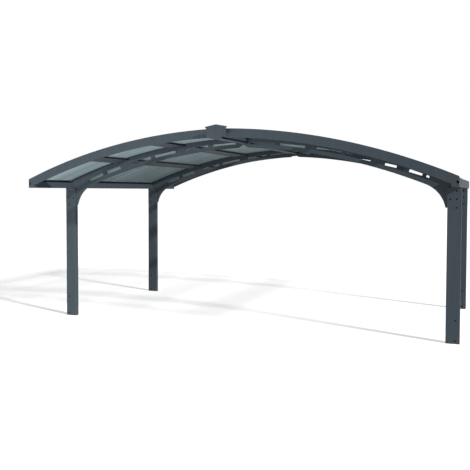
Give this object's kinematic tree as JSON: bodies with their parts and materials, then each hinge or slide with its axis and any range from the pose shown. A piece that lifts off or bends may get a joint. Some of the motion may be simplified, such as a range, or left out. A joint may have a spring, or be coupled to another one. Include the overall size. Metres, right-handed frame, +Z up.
{
  "type": "carport",
  "caption": "Free-standing carport with dark coated metal posts, slotted arched beams and a curved smoked sheet roof.",
  "frame": {"origin": "ground level, at the centre of the roof plan", "axes": "+X across the span to the right as seen from the front, +Y from front to rear, +Z up"},
  "size_m": [5.76, 5.14, 2.7698],
  "materials": {
    "post_coating": "satin powder coat, dark grey",
    "roof_coating": "satin powder coat, dark grey",
    "smoked_polycarbonate": "glossy smoked sheet",
    "seal_rubber": "matt black rubber"
  },
  "bodies": {
    "root": {"bracket_front_left": "post_coating", "bracket_front_right": "post_coating", "bracket_rear_left": "post_coating", "bracket_rear_right": "post_coating", "eave_cover_left": "roof_coating", "eave_cover_right": "roof_coating", "fascia_front_left": "roof_coating", "fascia_front_right": "roof_coating", "fascia_rear_left": "roof_coating", "fascia_rear_right": "roof_coating", "gutter_end_front_left": "roof_coating", "gutter_end_front_right": "roof_coating", "gutter_end_rear_left": "roof_coating", "gutter_end_rear_right": "roof_coating", "gutter_left": "roof_coating", "gutter_right": "roof_coating", "gutter_seal_left": "seal_rubber", "gutter_seal_right": "seal_rubber", "knee_front_left": "post_coating", "knee_front_right": "post_coating", "knee_rear_left": "post_coating", "knee_rear_right": "post_coating", "panel_lower_left": "smoked_polycarbonate", "panel_lower_right": "smoked_polycarbonate", "panel_middle_left": "smoked_polycarbonate", "panel_middle_right": "smoked_polycarbonate", "panel_upper_left": "smoked_polycarbonate", "panel_upper_right": "smoked_polycarbonate", "post_front_left": "post_coating", "post_front_right": "post_coating", "post_rear_left": "post_coating", "post_rear_right": "post_coating", "purlin_lower_left": "roof_coating", "purlin_lower_right": "roof_coating", "purlin_upper_left": "roof_coating", "purlin_upper_right": "roof_coating", "rib_front_left": "roof_coating", "rib_front_right": "roof_coating", "rib_rear_left": "roof_coating", "rib_rear_right": "roof_coating", "ridge_beam": "roof_coating", "ridge_cap": "roof_coating", "ridge_end_front": "roof_coating", "ridge_end_rear": "roof_coating"}
  },
  "joints": []
}
